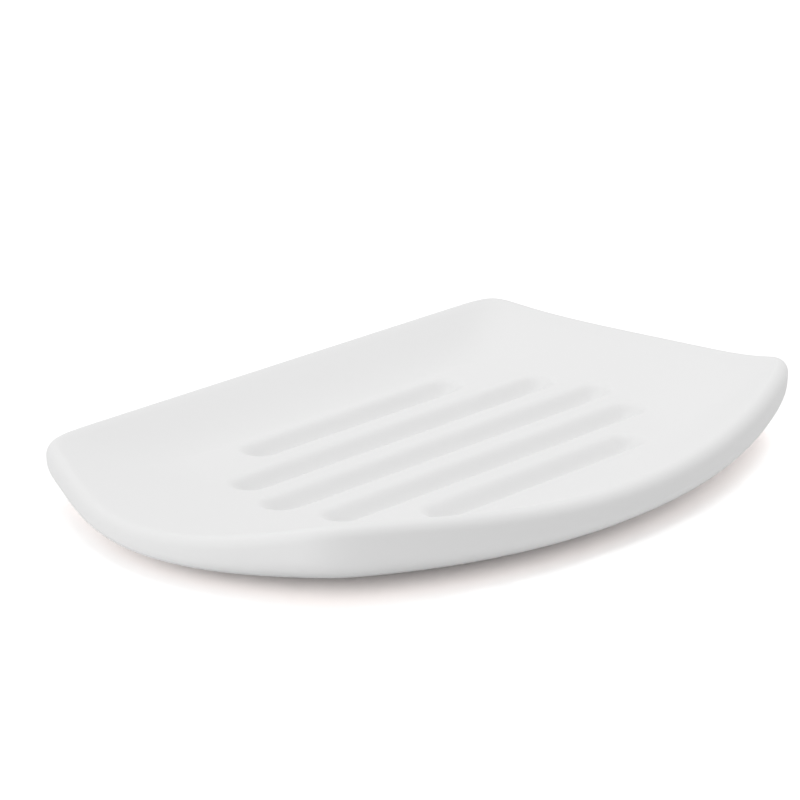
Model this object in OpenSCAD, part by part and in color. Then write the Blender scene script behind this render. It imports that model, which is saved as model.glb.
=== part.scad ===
// Soap dish: one shallow white shell with five drain grooves, standing on four soft foot pads.
// Lengths are in millimetres. X runs along the grooves, Y from the curved front to the straight
// back edge, and Z up. The origin is under the middle of the outline, where the pads stand.

/* [Outline] */
// Length of the crest along the straight back edge, from corner to corner
back_length = 112.5; // [100:0.5:120]
// Length of the crest between the two front corners
front_length = 117; // [104:0.5:128]
// Depth of the crest from the back edge to the front corners
side_depth = 67; // [58:0.5:74]
// How far the middle of the front stands out past the front corners
front_swell = 15.6; // [8:0.2:22]
// How far each side stands out past a straight line between its corners
side_swell = 9; // [2:0.1:12]
// How much of that swell leans from the back half of a side to its front half
side_swell_lean = 0.3; // [0:0.1:3]

/* [Rim] */
// Height of the crest along the back edge
back_rim_height = 11.9; // [10:0.1:15]
// Height of the crest at the front corners
front_corner_height = 14.5; // [12:0.1:17]
// How far the crest dips in the middle of each side
side_dip = 5.1; // [0:0.1:6]
// How far the crest dips in the middle of the front
front_dip = 3.7; // [0:0.1:5]
// How far the rounded rim reaches outward from its crest
rim_reach = 2; // [1.2:0.1:3]

/* [Bowl] */
// Height of the flat floor between the grooves
floor_height = 5.9; // [5.5:0.1:7]
// Number of drain grooves
groove_count = 5; // [3:1:5]
// Distance from the middle of one groove to the next
groove_pitch = 10.7; // [9:0.1:12]
// Width of a groove from lip to lip
groove_width = 7.8; // [6:0.1:9]
// Depth of a groove below the floor
groove_depth = 3.2; // [1:0.1:3.3]
// How far the rounded end of a groove reaches along it, from full depth up to the floor
groove_end_reach = 4.5; // [3:0.1:8]
// Length of the oval that the ends of the grooves lie on
groove_field_length = 88; // [70:1:96]
// Depth of that oval
groove_field_depth = 55; // [50:1:64]
// How far the middle groove lies behind the middle of the outline
groove_field_shift = 2.3; // [0:0.1:4]

/* [Foot] */
// Length of the flat foot that the wall curves down to
foot_length = 109; // [102:0.5:116]
// Depth of the flat foot, from front to back
foot_width = 61; // [56:0.5:68]
// Length of the hollow under the foot
hollow_length = 56; // [30:1:58]
// Depth of the hollow under the foot, from front to back
hollow_width = 32; // [20:1:36]
// Height of the hollow above the foot
hollow_height = 0.6; // [0.3:0.1:0.8]
// Corner radius of the hollow
hollow_radius = 10; // [4:0.5:12]

/* [Foot pads] */
// Diameter of a foot pad
pad_diameter = 9; // [6:0.5:10]
// Thickness of a foot pad
pad_thickness = 1.2; // [1:0.1:1.6]
// How deep a pad sits in its pocket in the foot
pad_pocket_depth = 0.8; // [0.5:0.1:0.9]
// Gap between the edge of a pad and its pocket
pad_clearance = 0.3; // [0.1:0.05:0.5]
// Width of the bevel round a pad's lower edge
pad_bevel = 0.3; // [0.1:0.1:0.5]
// Distance between the left and the right pads
pad_spacing = 76; // [68:1:80]
// Distance between the front and the back pads
pad_row_spacing = 30; // [22:1:32]

/* [Hidden] */

// Steps of the surface along X and along Y, and of the rim and the wall below it
columns = 40;
rows = 66;
rim_steps = 3;
wall_steps = 6;

// How square the corners of the outline and of the foot are, as exponents of a superellipse
corner_exponent = 24;
foot_corner_exponent = 5;
// How round the middle of the bowl is, and how late its outlines turn square, as exponents
inner_exponent = 4;
squaring_exponent = 4;
// How the swell of a side and of the front fills out, as exponents
side_fullness = 1.5;
front_fullness = 2.2;
// How the dip in the middle of the front fades towards its corners, as an exponent
front_dip_fade = 1.9;
// How the bowl rises from its floor and how it rounds off at the crest, as exponents
rise_exponent = 1.5;
crest_exponent = 1.2;
// Shares of the way from the middle of the dish to its rim that the flat floor takes
floor_share_side = 0.55;
floor_share_back = 0.7;
floor_share_front = 0.6;
// How the wall curves under towards the foot, as an exponent
wall_exponent = 3.1;
// How much closer the steps of the surface lie near the rim, as a share
edge_crowding_share = 0.3;

dish_depth = side_depth + front_swell;
pad_stand = pad_thickness - pad_pocket_depth;
pad_facets = 64;
// Length that a cut runs past the face it opens
overrun = groove_depth / 4;

function mix(a, b, t) = a + (b - a) * t;
function clamp_share(t) = min(1, max(0, t));

// Places along one side of the surface, from -1 to 1, closer together near the ends
function spread(w) = w * (1 + edge_crowding_share * (1 - w * w) / 2);

// The size of a place on the surface's square map: 1 on the rim and 0 in the middle
function rim_share(s) = max(abs(s[0]), abs(s[1]));

// A square place moved onto a superellipse, which rounds the corners of an outline
function rounded(s, exponent) =
    let (
        m = rim_share(s),
        a = m > 0 ? abs(s[0]) / m : 0,
        b = m > 0 ? abs(s[1]) / m : 0
    )
    m > 0 ? s / pow(pow(a, exponent) + pow(b, exponent), 1 / exponent) : s;

// Plan position of the crest's map: p runs from left to right and q from front to back
function half_length(q) =
    mix(front_length, back_length, (1 + q) / 2) / 2
    + side_swell * pow(max(0, 1 - q * q), side_fullness)
    - side_swell_lean * q * (1 - q * q);
function plan(s) =
    let (
        p = s[0],
        q = s[1],
        front = -side_depth - front_swell * (1 - pow(abs(p), front_fullness))
    )
    [p * half_length(q), dish_depth / 2 + front * (1 - q) / 2];

// Height of the crest where the rim crosses the map at s
function crest_height(s) =
    let (p = s[0], q = s[1])
    mix(front_corner_height, back_rim_height, (1 + q) / 2)
    - side_dip * (1 - q * q) * p * p
    - front_dip * pow(max(0, 1 - p * p), front_dip_fade) * (1 - q) / 2;

// Depth that the grooves take from the floor at a plan position
function groove_y(i) = groove_field_shift + (i - (groove_count - 1) / 2) * groove_pitch;
function groove_half_run(i) =
    let (y = (groove_y(i) - groove_field_shift) * 2 / groove_field_depth)
    groove_field_length / 2 * sqrt(max(0, 1 - y * y)) - groove_end_reach;
function groove_cut(at, i) =
    let (
        past_end = max(0, abs(at[0]) - groove_half_run(i)),
        away = norm([past_end / groove_end_reach, (at[1] - groove_y(i)) * 2 / groove_width])
    )
    away < 1 ? groove_depth * (1 + cos(180 * away)) / 2 : 0;
function grooves_cut(at) = max([for (i = [0:groove_count - 1]) groove_cut(at, i)]);

// The bowl: a flat oval floor, a rise that steepens outward, and a rounded crest
function bowl_point(square) =
    let (
        m = rim_share(square),
        squareness = mix(inner_exponent, corner_exponent, pow(m, squaring_exponent)),
        s = rounded(square, squareness),
        rim = m > 0 ? rounded(square, corner_exponent) / m : [0, 0],
        end_share = rim[1] > 0 ? floor_share_back : floor_share_front,
        flat_share = mix(floor_share_side, end_share, rim[1] * rim[1]),
        t = clamp_share((m - flat_share) / (1 - flat_share)),
        rise = 1 - pow(1 - pow(t, rise_exponent), crest_exponent),
        at = plan(s)
    )
    [at[0], at[1], mix(floor_height, crest_height(rim), rise) - grooves_cut(at)];

// Square places round the rim, counted from the front left corner towards the right
function place(i, j) = [spread(2 * i / columns - 1), spread(2 * j / rows - 1)];
rim_places = concat(
    [for (i = [0:columns - 1]) place(i, 0)],
    [for (j = [0:rows - 1]) place(columns, j)],
    [for (i = [columns:-1:1]) place(i, rows)],
    [for (j = [rows:-1:1]) place(0, j)]
);
rim_count = len(rim_places);
rim_points = [for (s = rim_places) bowl_point(s)];

// Outward direction of the rim in plan at point k
function outward(k) =
    let (
        before = rim_points[(k + rim_count - 1) % rim_count],
        after = rim_points[(k + 1) % rim_count],
        step = [after[0] - before[0], after[1] - before[1]]
    )
    [step[1], -step[0]] / norm(step);

// A ring of the rim's rounded shoulder, turned through the given angle from its crest
function shoulder_ring(angle) = [
    for (k = [0:rim_count - 1])
        let (r = rim_points[k], out = outward(k) * rim_reach * sin(angle))
        [r[0] + out[0], r[1] + out[1], r[2] - rim_reach * (1 - cos(angle))]
];

// Edge of the foot below point k of the rim: the outline again, smaller and with softer corners
function foot_edge(k) =
    let (at = plan(rounded(rim_places[k], foot_corner_exponent)))
    [at[0] * foot_length / (2 * half_length(0)), at[1] * foot_width / dish_depth];

// A ring of the wall, at a share of the way down from the shoulder to the foot
function wall_ring(share) = [
    for (k = [0:rim_count - 1])
        let (
            r = rim_points[k],
            shoulder = [r[0], r[1]] + outward(k) * rim_reach,
            at = mix(shoulder, foot_edge(k), pow(share, wall_exponent))
        )
        [at[0], at[1], mix(r[2] - rim_reach, pad_stand, share)]
];

module dish_shell() {
    surface_points = [for (j = [0:rows]) for (i = [0:columns]) bowl_point(place(i, j))];
    rings = concat(
        [for (n = [1:rim_steps]) shoulder_ring(90 * n / rim_steps)],
        [for (n = [1:wall_steps]) wall_ring(n / wall_steps)]
    );
    first = len(surface_points);
    width = columns + 1;
    rim_index = concat(
        [for (i = [0:columns - 1]) i],
        [for (j = [0:rows - 1]) j * width + columns],
        [for (i = [columns:-1:1]) rows * width + i],
        [for (j = [rows:-1:1]) j * width]
    );
    ring_index = concat(
        [rim_index],
        [for (n = [0:len(rings) - 1]) [for (k = [0:rim_count - 1]) first + n * rim_count + k]]
    );
    surface_faces = [
        for (j = [0:rows - 1]) for (i = [0:columns - 1])
            let (a = j * width + i, b = a + 1, c = b + width, d = a + width)
            each [[a, c, b], [a, d, c]]
    ];
    ring_faces = [
        for (n = [0:len(rings) - 1]) for (k = [0:rim_count - 1])
            let (
                after = (k + 1) % rim_count,
                a = ring_index[n][k],
                b = ring_index[n][after],
                c = ring_index[n + 1][after],
                d = ring_index[n + 1][k]
            )
            each [[a, b, c], [a, c, d]]
    ];
    foot_face = [[for (k = [0:rim_count - 1]) ring_index[len(rings)][k]]];
    all_points = concat(surface_points, [for (ring = rings) each ring]);
    polyhedron(points = all_points, faces = concat(surface_faces, ring_faces, foot_face));
}

module foot_hollow() {
    across = hollow_length / 2 - hollow_radius;
    along = hollow_width / 2 - hollow_radius;
    translate([0, 0, pad_stand - overrun])
        linear_extrude(hollow_height + overrun)
            hull()
                for (x = [-across, across], y = [-along, along])
                    translate([x, y])
                        circle(r = hollow_radius, $fn = pad_facets);
}

// Places something at the pad position of the given side (-1 left, 1 right) and row (-1 front, 1 back)
module at_pad(side, row) {
    translate([side * pad_spacing / 2, row * pad_row_spacing / 2, 0])
        children();
}

module dish_body() {
    color("white")
        difference() {
            dish_shell();
            foot_hollow();
            for (side = [-1, 1], row = [-1, 1])
                at_pad(side, row)
                    translate([0, 0, pad_stand - overrun])
                        cylinder(d = pad_diameter + 2 * pad_clearance,
                            h = pad_pocket_depth + overrun, $fn = pad_facets);
        }
}

module foot_pad(side, row) {
    radius = pad_diameter / 2;
    color("gainsboro")
        at_pad(side, row)
            rotate_extrude($fn = pad_facets)
                polygon([
                    [0, 0],
                    [radius - pad_bevel, 0],
                    [radius, pad_bevel],
                    [radius, pad_thickness],
                    [0, pad_thickness]
                ]);
}

module foot_pad_front_left() { foot_pad(-1, -1); }
module foot_pad_front_right() { foot_pad(1, -1); }
module foot_pad_back_left() { foot_pad(-1, 1); }
module foot_pad_back_right() { foot_pad(1, 1); }

dish_body();
foot_pad_front_left();
foot_pad_front_right();
foot_pad_back_left();
foot_pad_back_right();
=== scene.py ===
"""Dressed scene of a shallow white soap dish with five drain grooves, standing on four foot pads.

Lengths are in metres. X runs along the grooves, Y from the curved front to the straight back edge,
and Z up from the surface that the dish stands on.
"""

import math

import bmesh
import bpy
import numpy as np
from bpy.props import FloatProperty, FloatVectorProperty, IntProperty, PointerProperty
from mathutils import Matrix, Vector


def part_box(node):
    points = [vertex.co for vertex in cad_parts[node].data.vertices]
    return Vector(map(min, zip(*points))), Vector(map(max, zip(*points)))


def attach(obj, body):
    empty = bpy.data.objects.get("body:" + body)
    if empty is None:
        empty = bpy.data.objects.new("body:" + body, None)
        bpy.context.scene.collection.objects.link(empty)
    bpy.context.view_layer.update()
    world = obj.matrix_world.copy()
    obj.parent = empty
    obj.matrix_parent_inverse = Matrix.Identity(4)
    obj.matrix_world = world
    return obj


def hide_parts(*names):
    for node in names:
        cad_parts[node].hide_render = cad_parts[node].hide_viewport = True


bl_info = {
    "name": "Soap Dish",
    "version": (1, 0, 0),
    "blender": (4, 5, 0),
    "location": "3D View > Sidebar > Soap Dish",
    "description": "Builds the dressed soap dish, its foot pads and its studio",
    "category": "Object",
}

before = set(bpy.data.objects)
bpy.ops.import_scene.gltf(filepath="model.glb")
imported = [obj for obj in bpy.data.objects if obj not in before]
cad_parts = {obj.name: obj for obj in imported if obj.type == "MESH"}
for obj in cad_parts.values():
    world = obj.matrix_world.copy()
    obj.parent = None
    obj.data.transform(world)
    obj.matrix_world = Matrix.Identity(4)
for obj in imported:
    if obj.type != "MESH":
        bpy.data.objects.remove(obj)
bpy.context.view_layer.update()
MM = 0.001
TINY = 1e-12
MIRRORED = ("Is Glossy Ray", "Is Transmission Ray")
NEARNESS, LIFT = "nearness", "lift"


def length(name, description, default):
    """A length property with its default in millimetres."""
    return FloatProperty(name=name, description=description, default=default * MM,
                         unit="LENGTH", precision=5)


def number(name, description, default):
    """A plain number, such as a share, an exponent or a focal length."""
    return FloatProperty(name=name, description=description, default=default)


def degrees(name, description, default):
    """An angle property with its default in degrees."""
    return FloatProperty(name=name, description=description, default=math.radians(default),
                         subtype="ANGLE")


def watts(name, description, default):
    """The power of a light."""
    return FloatProperty(name=name, description=description, default=default, unit="POWER")


def position(name, description, default):
    """A place in metres."""
    return FloatVectorProperty(name=name, description=description, default=default, size=3,
                               subtype="XYZ", unit="LENGTH")


def swatch(name, description, default):
    """A colour property."""
    return FloatVectorProperty(name=name, description=description, default=default, size=3,
                               subtype="COLOR", min=0, max=1)


class OutlineSettings(bpy.types.PropertyGroup):
    """The crest of the rim, seen from above and from the side."""

    back_length: length("Back length", "Crest along the straight back edge", 112.5)
    front_length: length("Front length", "Crest between the two front corners", 117)
    side_depth: length("Side depth", "From the back edge to the front corners", 67)
    front_swell: length("Front swell", "How far the front stands out past its corners", 15.6)
    side_swell: length("Side swell", "How far each side stands out past its corners", 9)
    side_lean: length("Side lean", "How much of that swell leans to the front", 0.3)
    back_height: length("Back height", "Height of the crest along the back", 11.9)
    corner_height: length("Corner height", "Height of the crest at the front corners", 14.5)
    side_dip: length("Side dip", "How far the crest dips along each side", 5.1)
    front_dip: length("Front dip", "How far the crest dips along the front", 3.7)
    rim_reach: length("Rim reach", "How far the rounded rim reaches past its crest", 2)
    corner_exponent: number("Corner exponent", "How square the corners are", 24)
    side_fullness: number("Side fullness", "How a side's swell fills out", 1.5)
    front_fullness: number("Front fullness", "How the front's swell fills out", 2.2)
    front_dip_fade: number("Front dip fade", "How the front's dip fades at its ends", 1.9)


class BowlSettings(bpy.types.PropertyGroup):
    """The floor, the rise to the crest and the grooves."""

    floor_height: length("Floor height", "Height of the floor between the grooves", 5.9)
    groove_count: IntProperty(name="Grooves", description="Number of grooves", default=5)
    groove_pitch: length("Groove pitch", "From the middle of one groove to the next", 10.7)
    groove_width: length("Groove width", "From lip to lip", 7.8)
    groove_depth: length("Groove depth", "Below the floor", 3.2)
    groove_end: length("Groove end", "Reach of a groove's rounded end along the groove", 4.5)
    field_length: length("Field length", "Oval that the grooves' ends lie on", 88)
    field_depth: length("Field depth", "Depth of that oval", 55)
    field_shift: length("Field shift", "Middle groove behind the outline's middle", 2.3)
    rise_exponent: number("Rise exponent", "How the bowl rises from its floor", 1.5)
    crest_exponent: number("Crest exponent", "How the rise rounds off at the crest", 1.2)
    floor_share_side: number("Side floor", "Share that the floor takes to a side", 0.55)
    floor_share_back: number("Back floor", "Share that the floor takes to the back", 0.7)
    floor_share_front: number("Front floor", "Share that the floor takes to the front", 0.6)
    inner_exponent: number("Inner exponent", "How square the floor's outline is", 4)
    squaring: number("Squaring", "How late the bowl's outlines turn square", 4)


class FootSettings(bpy.types.PropertyGroup):
    """The wall below the rim, the foot under it and the pads."""

    foot_length: length("Foot length", "Flat foot, from left to right", 109)
    foot_width: length("Foot width", "Flat foot, from front to back", 61)
    foot_exponent: number("Foot exponent", "How square the foot's corners are", 5)
    wall_exponent: number("Wall exponent", "How the wall curves under", 3.1)
    hollow_length: length("Hollow length", "Hollow under the foot, left to right", 56)
    hollow_width: length("Hollow width", "Hollow under the foot, front to back", 32)
    hollow_height: length("Hollow height", "Hollow above the foot", 0.6)
    hollow_radius: length("Hollow radius", "Corner radius of the hollow", 10)
    pad_clearance: length("Pad clearance", "Gap between a pad and its pocket", 0.3)
    pad_pocket: length("Pad pocket", "Depth of a pad's pocket", 0.8)
    pad_bevel: length("Pad bevel", "Rounding of a pad's lower edge", 0.3)


class FinishSettings(bpy.types.PropertyGroup):
    """Colours of the dish, the pads and the studio."""

    dish_color: swatch("Dish", "Moulded white", (0.86, 0.86, 0.86))
    pad_color: swatch("Pads", "Soft grey pads", (0.55, 0.55, 0.54))
    floor_color: swatch("Floor", "Pale studio floor", (0.9, 0.9, 0.9))
    shadow_tone: swatch("Shadow tone", "Tone of the floor's deep shadow", (1, 0.94, 0.92))


class StudioSettings(bpy.types.PropertyGroup):
    """Camera, light and floor."""

    camera_place: position("Camera", "Where the camera stands", (-0.421, -0.3872, 0.2125))
    camera_heading: degrees("Heading", "Turn of the view from +X", 43.54)
    camera_drop: degrees("Drop", "Tilt of the view below level", 19.09)
    camera_lens: number("Lens", "Focal length in millimetres", 158.3)
    ambient: number("Ambient", "Strength of the even surroundings", 0.532)
    lamp_size: length("Lamp size", "Side of each square light", 600)
    top_place: position("Top light", "Where the light overhead hangs", (0, 0, 0.95))
    top_power: watts("Top power", "Power of the light overhead", 2.2)
    right_place: position("Right light", "Where the high light on the right hangs", (0.45, 0, 0.83))
    right_power: watts("Right power", "Power of the high light", 1.67)
    left_place: position("Left light", "Where the low light on the left stands", (-0.9, 0.15, 0.25))
    left_power: watts("Left power", "Power of the low light", 2.14)
    floor_lift: number("Floor lift", "How much lighter the camera sees the floor", 1.32)
    shadow_lift: number("Shadow lift", "The same lift under the dish", 2.1)
    far_lift: number("Far lift", "The most that the lift is, far from the dish", 2.3)
    shadow_fade: length("Shadow fade", "Reach, out and in, of the fade round the outline", 5)


class SoapDishSettings(bpy.types.PropertyGroup):
    """All the settings of the part."""

    outline: PointerProperty(type=OutlineSettings)
    bowl: PointerProperty(type=BowlSettings)
    foot: PointerProperty(type=FootSettings)
    finish: PointerProperty(type=FinishSettings)
    studio: PointerProperty(type=StudioSettings)


def settings():
    """The scene's settings, by group."""
    return bpy.context.scene.soap_dish


def mix(a, b, t):
    """From a to b by the share t."""
    return a + (b - a) * t


def spread(count, crowding=0.3):
    """Places from -1 to 1, closer together near the ends: w (1 + crowding (1 - w squared) / 2)."""
    w = np.linspace(-1.0, 1.0, count + 1)
    return w * (1 + crowding * (1 - w * w) / 2)


def rounded(square, exponent):
    """Square places moved onto superellipses: divided by the exponent norm of their direction."""
    m = np.abs(square).max(-1, keepdims=True)
    way = np.abs(square) / np.maximum(m, TINY)
    power = np.asarray(exponent, float)
    norm = (way ** power).sum(-1, keepdims=True) ** (1 / power)
    return square / np.maximum(norm, TINY)


def plan(s, o):
    """Plan places of the crest's map.

    x is p times the half length at q, which runs evenly from the front corners to the back ones
    plus a swell of (1 - q squared) to a power. y falls from the back edge by the share (1 - q) / 2
    of the depth at p, which is deepest in the middle of the front.
    """
    p, q = s[..., 0], s[..., 1]
    bow = np.clip(1 - q * q, 0, None)
    half = (mix(o.front_length, o.back_length, (1 + q) / 2) / 2
            + o.side_swell * bow ** o.side_fullness - o.side_lean * q * bow)
    depth = o.side_depth + o.front_swell * (1 - np.abs(p) ** o.front_fullness)
    back = (o.side_depth + o.front_swell) / 2
    return np.stack([p * half, back - depth * (1 - q) / 2], -1)


def crest_height(s, o):
    """Height of the crest: even from front to back, less a dip along each side and the front."""
    p, q = s[..., 0], s[..., 1]
    bow = np.clip(1 - p * p, 0, None)
    return (mix(o.corner_height, o.back_height, (1 + q) / 2)
            - o.side_dip * (1 - q * q) * p * p
            - o.front_dip * bow ** o.front_dip_fade * (1 - q) / 2)


def grooves_cut(at, b):
    """Depth of the grooves: a raised cosine of the distance to each groove's middle line.

    The distance is a share of half the width across a groove, and of the end's reach along it.
    The middle lines end that reach short of an oval.
    """
    cut = np.zeros(at.shape[:-1])
    for i in range(b.groove_count):
        away = (i - (b.groove_count - 1) / 2) * b.groove_pitch
        oval = math.sqrt(max(0.0, 1 - (2 * away / b.field_depth) ** 2))
        run = b.field_length / 2 * oval - b.groove_end
        past = np.clip(np.abs(at[..., 0]) - run, 0, None)
        across = (at[..., 1] - b.field_shift - away) * 2 / b.groove_width
        near = np.hypot(past / b.groove_end, across)
        cosine = (1 + np.cos(math.pi * np.clip(near, 0, 1))) / 2
        cut = np.maximum(cut, b.groove_depth * cosine)
    return cut


def bowl_surface(square, o, b):
    """The upper surface over square places from -1 to 1.

    The share m of the way to the rim is the larger of a place's two amounts. Past the floor's
    share of that way, where t runs evenly from 0 to 1, the height goes from the floor to the crest
    by 1 - (1 - t to a power) to another. The grooves are cut out of that.
    """
    m = np.abs(square).max(-1)
    squareness = mix(b.inner_exponent, o.corner_exponent, m ** b.squaring)[..., None]
    s = rounded(square, squareness)
    rim = rounded(square, o.corner_exponent) / np.maximum(m, TINY)[..., None]
    end = np.where(rim[..., 1] > 0, b.floor_share_back, b.floor_share_front)
    flat = mix(b.floor_share_side, end, rim[..., 1] ** 2)
    t = np.clip((m - flat) / (1 - flat), 0, 1)
    rise = 1 - (1 - t ** b.rise_exponent) ** b.crest_exponent
    at = plan(s, o)
    height = mix(b.floor_height, crest_height(rim, o), rise) - grooves_cut(at, b)
    return np.concatenate([at, height[..., None]], -1)


def rim_places(columns, rows):
    """Square places round the rim, from the front left corner towards the right."""
    u, v = spread(columns), spread(rows)
    front = np.stack([u[:-1], np.full(columns, -1.0)], -1)
    right = np.stack([np.full(rows, 1.0), v[:-1]], -1)
    back = np.stack([u[:0:-1], np.full(columns, 1.0)], -1)
    left = np.stack([np.full(rows, -1.0), v[:0:-1]], -1)
    return np.concatenate([front, right, back, left])


def rim_index(columns, rows):
    """Vertex numbers of the same places in the grid of the upper surface."""
    width = columns + 1
    return np.concatenate([
        np.arange(columns),
        np.arange(rows) * width + columns,
        rows * width + np.arange(columns, 0, -1),
        np.arange(rows, 0, -1) * width,
    ])


def outward(ring):
    """Unit vectors in plan, square to the ring's run and out of it."""
    run = np.roll(ring, -1, 0)[:, :2] - np.roll(ring, 1, 0)[:, :2]
    out = np.stack([run[:, 1], -run[:, 0]], -1)
    return out / np.linalg.norm(out, axis=1, keepdims=True)


def grid_faces(columns, rows):
    """Quads of a grid, wound to face up."""
    width = columns + 1
    a = (np.arange(rows)[:, None] * width + np.arange(columns)[None]).ravel()
    return np.stack([a, a + 1, a + 1 + width, a + width], -1)


def band_faces(upper, lower):
    """Quads between two rings of vertex numbers, wound to face out of the ring."""
    return np.stack([upper, lower, np.roll(lower, -1), np.roll(upper, -1)], -1)


def rounded_rectangle(half_x, half_y, radius, corner_steps):
    """The ring of a rectangle with round corners: a quarter circle about each corner's centre."""
    turn = np.linspace(0, math.pi / 2, corner_steps + 1)
    parts = []
    for quarter, (sx, sy) in enumerate(((1, 1), (-1, 1), (-1, -1), (1, -1))):
        angle = turn + quarter * math.pi / 2
        centre = np.array([sx * (half_x - radius), sy * (half_y - radius)])
        parts.append(centre + radius * np.stack([np.cos(angle), np.sin(angle)], -1))
    return np.concatenate(parts)


def circle(centre, radius, count):
    """A ring of points on a circle, counted from +X towards +Y."""
    angle = np.linspace(0, 2 * math.pi, count, endpoint=False)
    return np.array(centre) + radius * np.stack([np.cos(angle), np.sin(angle)], -1)


def at_height(ring, z):
    """A plan ring lifted to one height."""
    return np.concatenate([ring[:, :2], np.full((len(ring), 1), z)], -1)


def piece_from(name, points, faces):
    """A mesh object at the origin from arrays of points and faces."""
    mesh = bpy.data.meshes.new(name)
    mesh.from_pydata(points, [], faces)
    mesh.update()
    piece = bpy.data.objects.new(name, mesh)
    bpy.context.scene.collection.objects.link(piece)
    return piece


def shade(piece, sharp_degrees=40):
    """Smooth shading, broken only where faces meet at more than the given angle."""
    piece.data.shade_smooth()
    piece.data.set_sharp_from_angle(angle=math.radians(sharp_degrees))


def pad_nodes():
    """Names of the CAD nodes of the pads."""
    return sorted(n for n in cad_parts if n.startswith("foot_pad"))


def pad_facts(node):
    """Middle, radius, lower face and top of a pad, from its CAD box."""
    low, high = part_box(node)
    return (low + high) / 2, (high.x - low.x) / 2, low.z, high.z


def close_foot(mesh, outer, holes):
    """Fills the flat foot between its edge and the rings cut into it."""
    bm = bmesh.new()
    bm.from_mesh(mesh)
    bm.verts.ensure_lookup_table()
    edges = []
    for ring in [outer] + holes:
        for a, b in zip(ring, np.roll(ring, -1)):
            pair = (bm.verts[int(a)], bm.verts[int(b)])
            edges.append(bm.edges.get(pair) or bm.edges.new(pair))
    bmesh.ops.triangle_fill(bm, use_beauty=True, edges=edges, normal=(0, 0, -1))
    bm.to_mesh(mesh)
    bm.free()


def body_mesh_parts(o, b, f):
    """Points and quads of the dish's body, the foot's edge, and its holes' mouths and roofs.

    The rim's shoulder is a quarter circle from the crest outwards. Below it the wall runs to the
    foot's edge: down evenly, and inwards by the same share to a power. The foot stands as high as
    the pads' tops less the depth of their pockets. Its flat and its holes' roofs are left open.
    """
    columns, rows = 240, 180
    shoulder_steps, wall_steps = 12, 22
    corner_steps, pocket_points = 12, 64
    u, v = np.meshgrid(spread(columns), spread(rows))
    surface = bowl_surface(np.stack([u, v], -1), o, b).reshape(-1, 3)
    points, faces = [surface], [grid_faces(columns, rows)]
    places = rim_places(columns, rows)
    crest = bowl_surface(places, o, b)
    out = outward(crest)
    _, _, _, pad_top = pad_facts(pad_nodes()[0])
    stand = pad_top - f.pad_pocket
    start = len(surface)
    ring = rim_index(columns, rows)

    def add_ring(ring_points, above):
        """Adds one ring below another and the band between them."""
        nonlocal start
        below = start + np.arange(len(ring_points))
        points.append(ring_points)
        faces.append(band_faces(above, below))
        start += len(ring_points)
        return below

    for angle in np.linspace(0, math.pi / 2, shoulder_steps + 1)[1:]:
        reach = out * o.rim_reach * math.sin(angle)
        drop = crest[:, 2:] - o.rim_reach * (1 - math.cos(angle))
        ring = add_ring(np.concatenate([crest[:, :2] + reach, drop], -1), ring)
    shoulder = crest[:, :2] + out * o.rim_reach
    foot = plan(rounded(places, f.foot_exponent), o)
    widest = plan(np.array([1.0, 0.0]), o)[0]
    foot = foot * np.array([f.foot_length / 2 / widest,
                            f.foot_width / (o.side_depth + o.front_swell)])
    for t in np.linspace(0, 1, wall_steps + 1)[1:]:
        at = mix(shoulder, foot, t ** f.wall_exponent)
        drop = mix(crest[:, 2:] - o.rim_reach, stand, t)
        ring = add_ring(np.concatenate([at, drop], -1), ring)
    hollow = rounded_rectangle(f.hollow_length / 2, f.hollow_width / 2, f.hollow_radius,
                               corner_steps)
    cuts = [(hollow, f.hollow_height)]
    for node in pad_nodes():
        middle, radius, _, _ = pad_facts(node)
        pocket = circle(middle[:2], radius + f.pad_clearance, pocket_points)
        cuts.append((pocket, f.pad_pocket))
    holes = []
    for edge, depth in cuts:
        mouth = start + np.arange(len(edge))
        points.append(at_height(edge, stand))
        start += len(edge)
        roof = start + np.arange(len(edge))
        points.append(at_height(edge, stand + depth))
        start += len(edge)
        faces.append(band_faces(mouth, roof))
        holes.append((mouth, roof))
    return np.concatenate(points), np.concatenate(faces), ring, holes


class SOAPDISH_OT_body(bpy.types.Operator):
    """Builds the dish's body: bowl, grooves, rim, wall and foot"""

    bl_idname = "soap_dish.body"
    bl_label = "Dish Body"

    def execute(self, context):
        s = settings()
        points, quads, edge, holes = body_mesh_parts(s.outline, s.bowl, s.foot)
        roofs = [roof[::-1].tolist() for _, roof in holes]
        body = piece_from("moulded_dish", points, quads.tolist() + roofs)
        close_foot(body.data, edge, [mouth for mouth, _ in holes])
        shade(body)
        body.data.materials.append(white_plastic(s.finish.dish_color))
        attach(body, "root")
        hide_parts("dish_body")
        return {"FINISHED"}


class SOAPDISH_OT_pads(bpy.types.Operator):
    """Builds the four soft pads under the foot"""

    bl_idname = "soap_dish.pads"
    bl_label = "Foot Pads"

    def execute(self, context):
        s = settings()
        rubber = soft_rubber(s.finish.pad_color)
        for node in pad_nodes():
            middle, radius, low, high = pad_facts(node)
            piece = pad_piece(node.replace("foot_pad", "soft_pad"), middle, radius, low, high,
                              s.foot.pad_bevel)
            piece.data.materials.append(rubber)
            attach(piece, "root")
            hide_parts(node)
        return {"FINISHED"}


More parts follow.
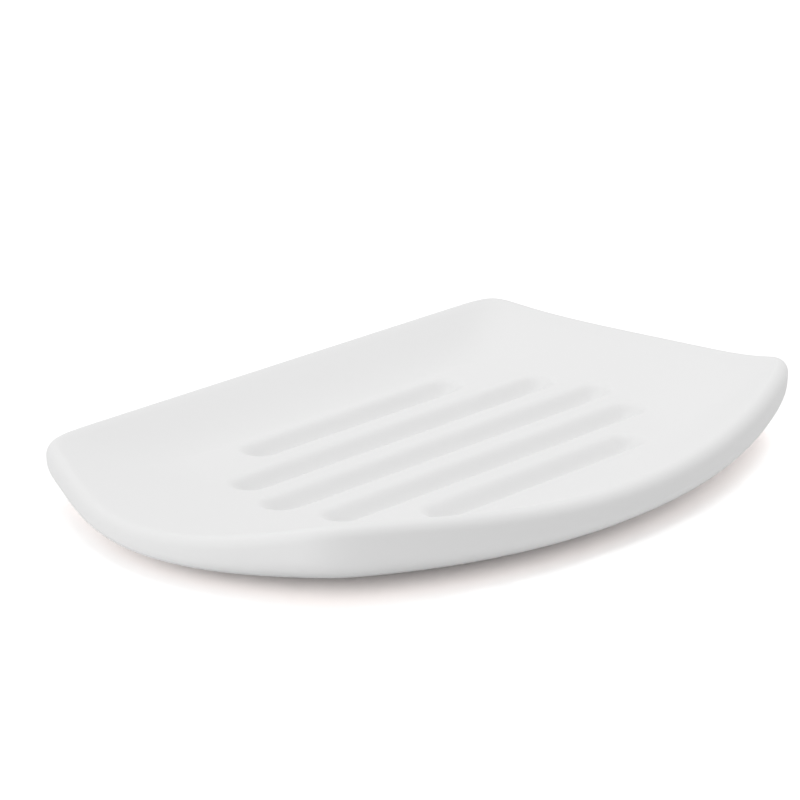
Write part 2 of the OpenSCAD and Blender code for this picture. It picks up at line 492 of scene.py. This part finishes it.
def pad_piece(name, middle, radius, low, high, bevel):
    """A round pad: a profile of radius and height turned about its own upright axis.

    The lower edge is a quarter circle of the bevel's radius, and the face has a shallow dimple
    whose depth is a raised cosine of the distance from the middle.
    """
    turns, face_rings, bevel_rings, wall_rings = 72, 24, 6, 4
    hub_share, dimple_share = 0.02, 0.72
    dimple_depth = 0.25 * MM
    inner = np.linspace(hub_share, 1, face_rings) * (radius - bevel)
    reach = np.clip(inner / (radius * dimple_share), 0, 1)
    face = low + dimple_depth * (1 + np.cos(math.pi * reach)) / 2
    turn = np.linspace(0, math.pi / 2, bevel_rings + 1)[1:]
    edge_r = radius - bevel + bevel * np.sin(turn)
    edge_z = low + bevel - bevel * np.cos(turn)
    wall_z = np.linspace(low + bevel, high, wall_rings + 1)[1:]
    r = np.concatenate([inner, edge_r, np.full(wall_rings, radius)])
    z = np.concatenate([face, edge_z, wall_z])
    angle = np.linspace(0, 2 * math.pi, turns, endpoint=False)
    points = np.stack([
        middle.x + r[:, None] * np.cos(angle),
        middle.y + r[:, None] * np.sin(angle),
        np.repeat(z[:, None], turns, 1),
    ], -1).reshape(-1, 3)
    rings = np.arange(len(r) * turns).reshape(len(r), turns)
    bands = np.concatenate([band_faces(b, a) for a, b in zip(rings[:-1], rings[1:])])
    ends = [rings[0][::-1].tolist(), rings[-1].tolist()]
    piece = piece_from(name, points, bands.tolist() + ends)
    shade(piece, sharp_degrees=50)
    return piece


def group_of(name, inputs, outputs):
    """A shader node group with named sockets, and its input and output nodes."""
    tree = bpy.data.node_groups.new(name, "ShaderNodeTree")
    for socket, value in inputs:
        item = tree.interface.new_socket(socket, in_out="INPUT", socket_type="NodeSocketFloat")
        item.default_value = value
    for socket, kind in outputs:
        tree.interface.new_socket(socket, in_out="OUTPUT", socket_type=kind)
    return tree, tree.nodes.new("NodeGroupInput"), tree.nodes.new("NodeGroupOutput")


def moulded_skin():
    """Group: a moulded surface's grain as a height, and its slow drift as roughness and mask."""
    name = "MouldedSkin"
    if name in bpy.data.node_groups:
        return bpy.data.node_groups[name]
    tree, come, go = group_of(
        name,
        [("Grain Size", 1400.0), ("Drift Size", 28.0), ("Roughness", 0.4), ("Variation", 0.06)],
        [("Height", "NodeSocketFloat"), ("Roughness", "NodeSocketFloat"),
         ("Mask", "NodeSocketFloat")],
    )
    link = tree.links.new
    place = tree.nodes.new("ShaderNodeTexCoord")
    grain = tree.nodes.new("ShaderNodeTexNoise")
    grain.inputs["Detail"].default_value = 3
    link(place.outputs["Object"], grain.inputs["Vector"])
    link(come.outputs["Grain Size"], grain.inputs["Scale"])
    drift = tree.nodes.new("ShaderNodeTexNoise")
    drift.inputs["Detail"].default_value = 2
    link(place.outputs["Object"], drift.inputs["Vector"])
    link(come.outputs["Drift Size"], drift.inputs["Scale"])
    centred = tree.nodes.new("ShaderNodeMath")
    centred.operation = "SUBTRACT"
    link(drift.outputs["Fac"], centred.inputs[0])
    centred.inputs[1].default_value = 0.5
    rough = tree.nodes.new("ShaderNodeMath")
    rough.operation = "MULTIPLY_ADD"
    link(centred.outputs[0], rough.inputs[0])
    link(come.outputs["Variation"], rough.inputs[1])
    link(come.outputs["Roughness"], rough.inputs[2])
    link(grain.outputs["Fac"], go.inputs["Height"])
    link(rough.outputs[0], go.inputs["Roughness"])
    link(drift.outputs["Fac"], go.inputs["Mask"])
    return tree


def finish_material(name, color, tint, roughness, variation, grain, drift, bump):
    """A Principled material whose tone, roughness and bump come from the moulded skin group."""
    material = bpy.data.materials.new(name)
    material.use_nodes = True
    tree = material.node_tree
    shader = tree.nodes["Principled BSDF"]
    skin = tree.nodes.new("ShaderNodeGroup")
    skin.node_tree = moulded_skin()
    skin.inputs["Grain Size"].default_value = grain
    skin.inputs["Drift Size"].default_value = drift
    skin.inputs["Roughness"].default_value = roughness
    skin.inputs["Variation"].default_value = variation
    tone = tree.nodes.new("ShaderNodeMix")
    tone.data_type = "RGBA"
    tone.inputs["A"].default_value = (*color, 1)
    tone.inputs["B"].default_value = (*(c * tint for c in color), 1)
    tree.links.new(skin.outputs["Mask"], tone.inputs["Factor"])
    tree.links.new(tone.outputs["Result"], shader.inputs["Base Color"])
    tree.links.new(skin.outputs["Roughness"], shader.inputs["Roughness"])
    relief = tree.nodes.new("ShaderNodeBump")
    relief.inputs["Strength"].default_value = 1
    relief.inputs["Distance"].default_value = bump
    tree.links.new(skin.outputs["Height"], relief.inputs["Height"])
    tree.links.new(relief.outputs["Normal"], shader.inputs["Normal"])
    return material, shader


def white_plastic(color):
    """Satin white moulded plastic: soft sheen, hardly any grain."""
    material, shader = finish_material("WhitePlastic", color, tint=0.985, roughness=0.55,
                                       variation=0.08, grain=2600.0, drift=22.0,
                                       bump=0.004 * MM)
    shader.inputs["IOR"].default_value = 1.5
    shader.inputs["Specular IOR Level"].default_value = 0.2
    return material


def soft_rubber(color):
    """Soft grey rubber: dull, with a fine grain."""
    material, shader = finish_material("SoftRubber", color, tint=0.9, roughness=0.75,
                                       variation=0.1, grain=3200.0, drift=180.0,
                                       bump=0.02 * MM)
    shader.inputs["Specular IOR Level"].default_value = 0.25
    return material


def ray_mask(tree, kinds):
    """Socket that is 1 for rays of the given kinds and 0 for all others."""
    paths = tree.nodes.new("ShaderNodeLightPath")
    mask = paths.outputs[kinds[0]]
    for kind in kinds[1:]:
        either = tree.nodes.new("ShaderNodeMath")
        either.operation = "MAXIMUM"
        tree.links.new(mask, either.inputs[0])
        tree.links.new(paths.outputs[kind], either.inputs[1])
        mask = either.outputs[0]
    return mask


def color_mix(tree, factor, a, b):
    """Socket of a colour that goes from a to b, each a colour or a socket, by the factor socket."""
    node = tree.nodes.new("ShaderNodeMix")
    node.data_type = "RGBA"
    tree.links.new(factor, node.inputs["Factor"])
    for name, value in (("A", a), ("B", b)):
        if isinstance(value, bpy.types.NodeSocket):
            tree.links.new(value, node.inputs[name])
        else:
            node.inputs[name].default_value = (*value, 1)
    return node.outputs["Result"]


def floor_material(color, tone, most_lift, depth_power=4):
    """A pale floor, plain white to reflections, which the camera sees in colours of its own.

    Those are the floor's colour times its lift, so that it shows white but for the dish's shadow.
    The floor holds the lift as a share of the most. The tone comes in by the floor's nearness to
    the dish, to a power, so that only the deep of the shadow has it. From below it is left plain.
    """
    material = bpy.data.materials.new("StudioFloor")
    material.use_nodes = True
    tree = material.node_tree
    tree.nodes.clear()
    lift = tree.nodes.new("ShaderNodeAttribute")
    lift.attribute_name = LIFT
    nearness = tree.nodes.new("ShaderNodeAttribute")
    nearness.attribute_name = NEARNESS
    depth = tree.nodes.new("ShaderNodeMath")
    depth.operation = "POWER"
    tree.links.new(nearness.outputs["Fac"], depth.inputs[0])
    depth.inputs[1].default_value = depth_power
    plain = [c * most_lift for c in color]
    toned = color_mix(tree, depth.outputs[0], plain, [c * t for c, t in zip(plain, tone)])
    seen = color_mix(tree, lift.outputs["Fac"], (0, 0, 0), toned)
    mirrored = color_mix(tree, ray_mask(tree, MIRRORED), color, (1, 1, 1))
    side = tree.nodes.new("ShaderNodeNewGeometry")
    above = tree.nodes.new("ShaderNodeMath")
    above.operation = "SUBTRACT"
    above.use_clamp = True
    tree.links.new(ray_mask(tree, ("Is Camera Ray",)), above.inputs[0])
    tree.links.new(side.outputs["Backfacing"], above.inputs[1])
    shown = color_mix(tree, above.outputs[0], mirrored, seen)
    diffuse = tree.nodes.new("ShaderNodeBsdfDiffuse")
    tree.links.new(shown, diffuse.inputs["Color"])
    out = tree.nodes.new("ShaderNodeOutputMaterial")
    tree.links.new(diffuse.outputs[0], out.inputs["Surface"])
    return material


def floor_nearness(points, o, fade):
    """Nearness of floor places to the dish: 1 well inside its outline and 0 well outside.

    It goes by 3 t squared less 2 t cubed, where t runs evenly over the band that reaches as far
    as the fade on both sides of the outline. A place's distance is that to the outline's nearest
    point, and counts as negative inside.
    """
    columns, rows = 60, 45
    ring = plan(rounded(rim_places(columns, rows), o.corner_exponent), o)
    out = outward(ring)
    gap = points[:, None, :2] - (ring + out * o.rim_reach)
    distance = np.linalg.norm(gap, axis=-1)
    nearest = distance.argmin(1)
    each = np.arange(len(points))
    side = np.sign((gap[each, nearest] * out[nearest]).sum(-1))
    t = np.clip((1 - side * distance[each, nearest] / fade) / 2, 0, 1)
    return t * t * (3 - 2 * t)


def studio_floor(o, studio):
    """A level square floor whose close grid round the dish holds its nearness and its lift.

    The lift is the shadow's under the dish. Outside, it is the floor's times 1 plus the square of
    the distance from the middle over a reach, up to the most, as the lamps' light falls off.
    """
    half, close, reach = 2.0, 0.12, 0.6
    close_cells, far_lines = 120, 16
    away = np.geomspace(close, half, far_lines)[1:]
    lines = np.concatenate([-away[::-1], np.linspace(-close, close, close_cells + 1), away])
    x, y = np.meshgrid(lines, lines)
    points = np.stack([x, y, np.zeros_like(x)], -1).reshape(-1, 3)
    cells = len(lines) - 1
    floor = piece_from("studio_floor", points, grid_faces(cells, cells).tolist())
    nearness = floor_nearness(points, o, studio.shadow_fade)
    far = studio.floor_lift * (1 + (points ** 2).sum(-1) / reach ** 2)
    lift = mix(np.minimum(far, studio.far_lift), studio.shadow_lift, nearness) / studio.far_lift
    for name, values in ((NEARNESS, nearness), (LIFT, lift)):
        layer = floor.data.attributes.new(name, "FLOAT", "POINT")
        layer.data.foreach_set("value", values)
    return floor


def pale_world(ambient):
    """Even pale surroundings, which the camera and reflections see as white."""
    world = bpy.data.worlds.new("PaleStudio")
    world.use_nodes = True
    tree = world.node_tree
    tree.nodes.clear()
    level = tree.nodes.new("ShaderNodeMix")
    level.data_type = "FLOAT"
    level.inputs["A"].default_value = ambient
    level.inputs["B"].default_value = 1.0
    mask = ray_mask(tree, ("Is Camera Ray",) + MIRRORED)
    tree.links.new(mask, level.inputs["Factor"])
    sky = tree.nodes.new("ShaderNodeBackground")
    sky.inputs["Color"].default_value = (1, 1, 1, 1)
    tree.links.new(level.outputs["Result"], sky.inputs["Strength"])
    out = tree.nodes.new("ShaderNodeOutputWorld")
    tree.links.new(sky.outputs[0], out.inputs["Surface"])
    return world


def soft_box(name, place, power, size):
    """A square area light that stands at place and faces the spot under the dish's middle."""
    light = bpy.data.lights.new(name, "AREA")
    light.shape = "SQUARE"
    light.size = size
    light.energy = power
    lamp = bpy.data.objects.new(name, light)
    bpy.context.scene.collection.objects.link(lamp)
    lamp.location = place
    lamp.rotation_euler = (-Vector(place)).to_track_quat("-Z", "Y").to_euler()


class SOAPDISH_OT_stage(bpy.types.Operator):
    """Sets up the camera, the pale floor and the soft light"""

    bl_idname = "soap_dish.stage"
    bl_label = "Stage"

    def execute(self, context):
        s = settings()
        studio = s.studio
        scene = context.scene
        scene.view_settings.view_transform = "Standard"
        camera = bpy.data.objects.new("Camera", bpy.data.cameras.new("Camera"))
        scene.collection.objects.link(camera)
        camera.data.lens = studio.camera_lens
        camera.data.sensor_width = 36
        camera.location = studio.camera_place
        camera.rotation_euler = (math.pi / 2 - studio.camera_drop, 0,
                                 studio.camera_heading - math.pi / 2)
        camera.data.clip_start = 0.01
        scene.camera = camera
        floor = studio_floor(s.outline, studio)
        floor.data.materials.append(floor_material(s.finish.floor_color, s.finish.shadow_tone,
                                                   studio.far_lift))
        scene.world = pale_world(studio.ambient)
        soft_box("Top", studio.top_place, studio.top_power, studio.lamp_size)
        soft_box("Right", studio.right_place, studio.right_power, studio.lamp_size)
        soft_box("Left", studio.left_place, studio.left_power, studio.lamp_size)
        return {"FINISHED"}


class SOAPDISH_PT_panel(bpy.types.Panel):
    """Lists the settings and the buttons that build the dish"""

    bl_label = "Soap Dish"
    bl_idname = "SOAPDISH_PT_panel"
    bl_space_type = "VIEW_3D"
    bl_region_type = "UI"
    bl_category = "Soap Dish"

    def draw(self, context):
        layout = self.layout
        for operator in OPERATORS:
            layout.operator(operator.bl_idname)
        s = settings()
        for group in (s.outline, s.bowl, s.foot, s.finish, s.studio):
            box = layout.box()
            for name in group.__annotations__:
                box.prop(group, name)


OPERATORS = (SOAPDISH_OT_stage, SOAPDISH_OT_body, SOAPDISH_OT_pads)
CLASSES = (OutlineSettings, BowlSettings, FootSettings, FinishSettings, StudioSettings,
           SoapDishSettings, *OPERATORS, SOAPDISH_PT_panel)


def register():
    """Registers the classes and hangs the settings on the scene."""
    for cls in CLASSES:
        bpy.utils.register_class(cls)
    bpy.types.Scene.soap_dish = PointerProperty(type=SoapDishSettings)


def unregister():
    """Takes the settings and the classes away again."""
    del bpy.types.Scene.soap_dish
    for cls in reversed(CLASSES):
        bpy.utils.unregister_class(cls)


def main():
    """Builds the whole scene."""
    register()
    bpy.ops.soap_dish.stage()
    bpy.ops.soap_dish.body()
    bpy.ops.soap_dish.pads()


if __name__ == "__main__":
    main()
